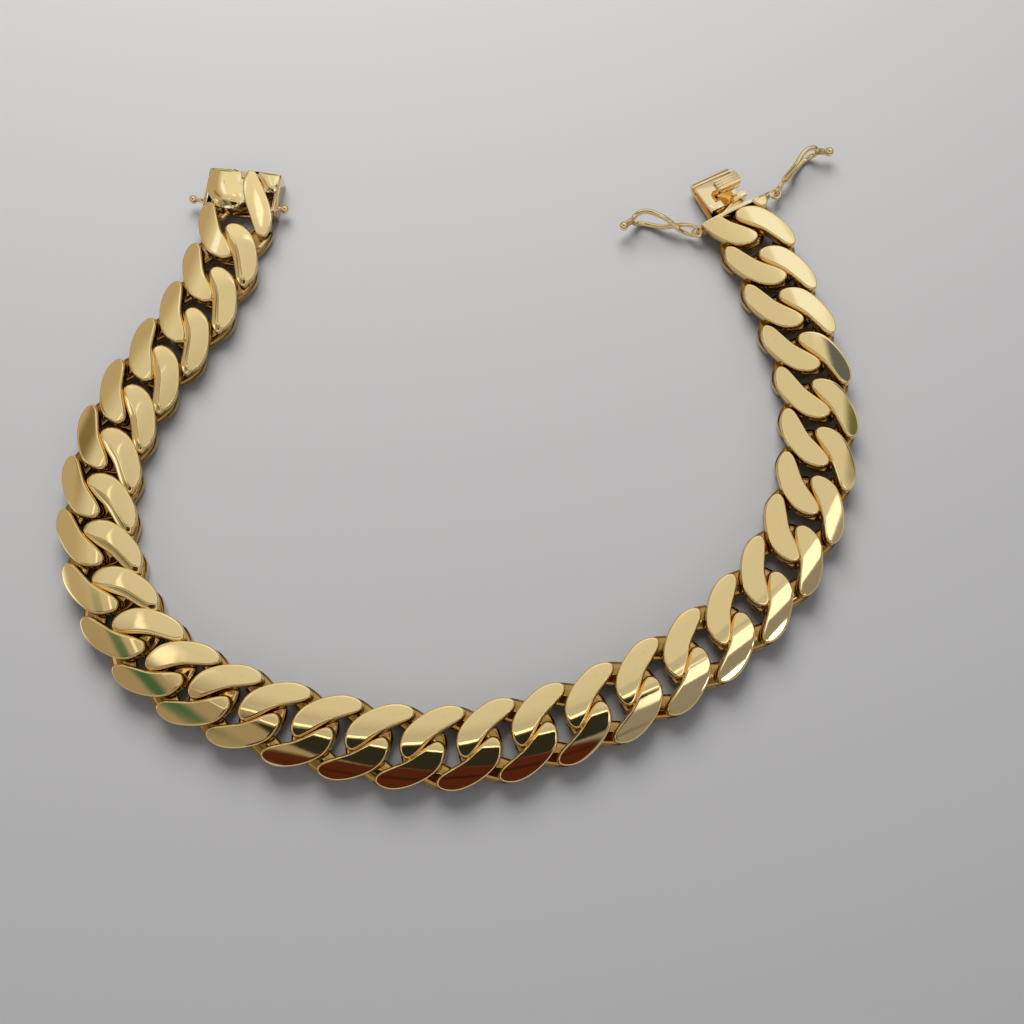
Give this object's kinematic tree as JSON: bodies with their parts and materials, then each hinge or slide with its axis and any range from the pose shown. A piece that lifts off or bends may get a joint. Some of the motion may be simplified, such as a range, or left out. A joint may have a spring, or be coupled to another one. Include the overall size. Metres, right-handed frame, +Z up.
{
  "type": "curb chain bracelet",
  "caption": "Flat gold curb chain bracelet lying open, with a box clasp, a spring tongue and wire safety catches.",
  "frame": {"origin": "bottom centre of the bounding box, on the surface that the bracelet lies on", "axes": "+X across the open horseshoe from the box end to the tongue end, +Z up through the links' thickness, +Y towards the open ends"},
  "size_m": [0.1034, 0.0878, 0.0044],
  "materials": {
    "gold": "polished"
  },
  "bodies": {
    "chain": {"clasp_box": "gold", "link_02": "gold", "link_03": "gold", "link_04": "gold", "link_05": "gold", "link_06": "gold", "link_07": "gold", "link_08": "gold", "link_09": "gold", "link_10": "gold", "link_11": "gold", "link_12": "gold", "link_13": "gold", "link_14": "gold", "link_15": "gold", "link_16": "gold", "link_17": "gold", "link_18": "gold", "link_19": "gold", "link_20": "gold", "link_21": "gold", "link_22": "gold", "link_23": "gold", "link_24": "gold", "link_25": "gold", "link_26": "gold", "link_27": "gold", "link_28": "gold", "link_29": "gold", "link_30": "gold", "link_31": "gold", "tongue_base": "gold"},
    "spring_leaf": {"tongue_leaf": "gold"},
    "catch_left": {"safety_catch_left": "gold"},
    "catch_right": {"safety_catch_right": "gold"}
  },
  "joints": [
    {"name": "thumb_press", "type": "hinge", "parent": "chain", "child": "spring_leaf", "pos_m": [0.0343, 0.03862, 0.0022], "axis": [-0.8878, -0.4602, 0], "range_deg": [-8, 0], "stiffness_Nm_per_rad": 0.02},
    {"name": "catch_left_swing", "type": "hinge", "parent": "chain", "child": "catch_left", "pos_m": [0.03206, 0.0309, 0.00165], "axis": [0, 0, 1], "range_deg": [-40, 50]},
    {"name": "catch_right_swing", "type": "hinge", "parent": "chain", "child": "catch_right", "pos_m": [0.04321, 0.03681, 0.00165], "axis": [0, 0, 1], "range_deg": [-45, 58]}
  ]
}
